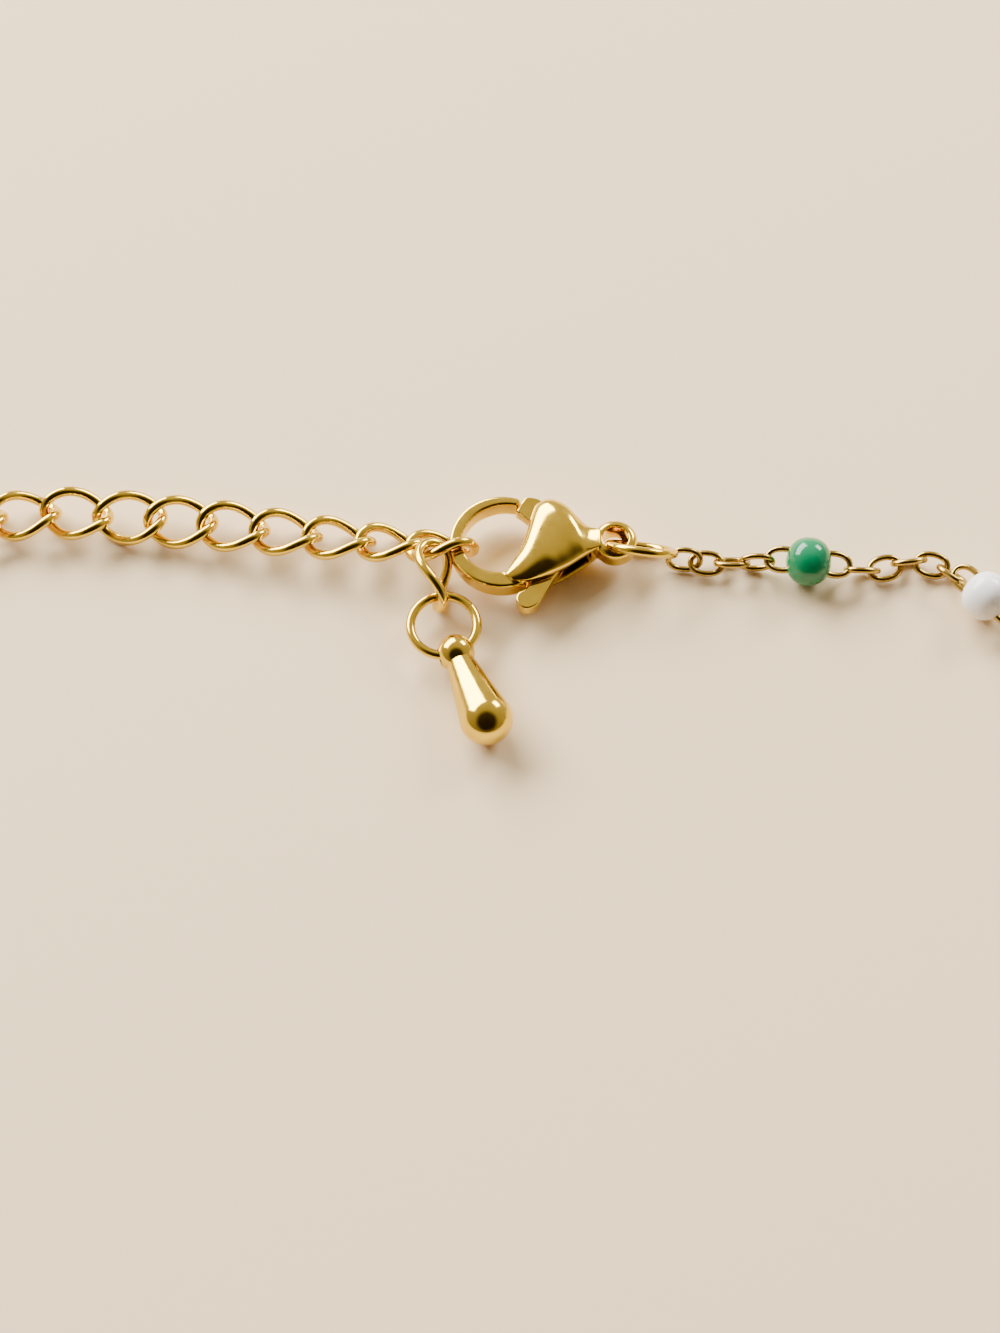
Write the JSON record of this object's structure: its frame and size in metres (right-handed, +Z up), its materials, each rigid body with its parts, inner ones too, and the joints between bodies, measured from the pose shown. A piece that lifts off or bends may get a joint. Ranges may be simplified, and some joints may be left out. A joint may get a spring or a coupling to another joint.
{
  "type": "bead necklace",
  "caption": "Closed loop of fine gold-tone cable chain with small round enamel beads, a lobster clasp, a curb extension chain and a teardrop end, lying flat.",
  "frame": {"origin": "on the surface that the necklace lies on, at the middle of the loop", "axes": "+Z up; +Y from the middle of the loop toward the clasp; +X along the clasp from its hook to its eye"},
  "size_m": [0.1409, 0.1433, 0.0034],
  "materials": {
    "gold": "polished",
    "enamel_green": "glossy",
    "enamel_white": "glossy"
  },
  "bodies": {
    "necklace": {"clasp_body": "gold", "clasp_pin": "gold", "clasp_ring": "gold", "extender_link_01": "gold", "extender_link_02": "gold", "extender_link_03": "gold", "extender_link_04": "gold", "extender_link_05": "gold", "extender_link_06": "gold", "extender_link_07": "gold", "extender_link_08": "gold", "extender_link_09": "gold", "extender_link_10": "gold", "extender_link_11": "gold", "extender_link_12": "gold", "extender_link_13": "gold", "extender_link_14": "gold", "extender_link_15": "gold", "extender_link_16": "gold", "extender_link_17": "gold", "drop_ring": "gold", "drop": "gold", "end_ring": "gold", "beaded_chain_right": "enamel_green", "beaded_chain_left": "enamel_white"},
    "lever": {"clasp_lever": "gold"}
  },
  "joints": [
    {"name": "clasp_lever_hinge", "type": "hinge", "parent": "necklace", "child": "lever", "pos_m": [0.0068, 0.06915, 0.00137], "axis": [0, 0, 1], "range_deg": [0, 28], "stiffness_Nm_per_rad": 0.002, "springref_deg": -8.59}
  ]
}
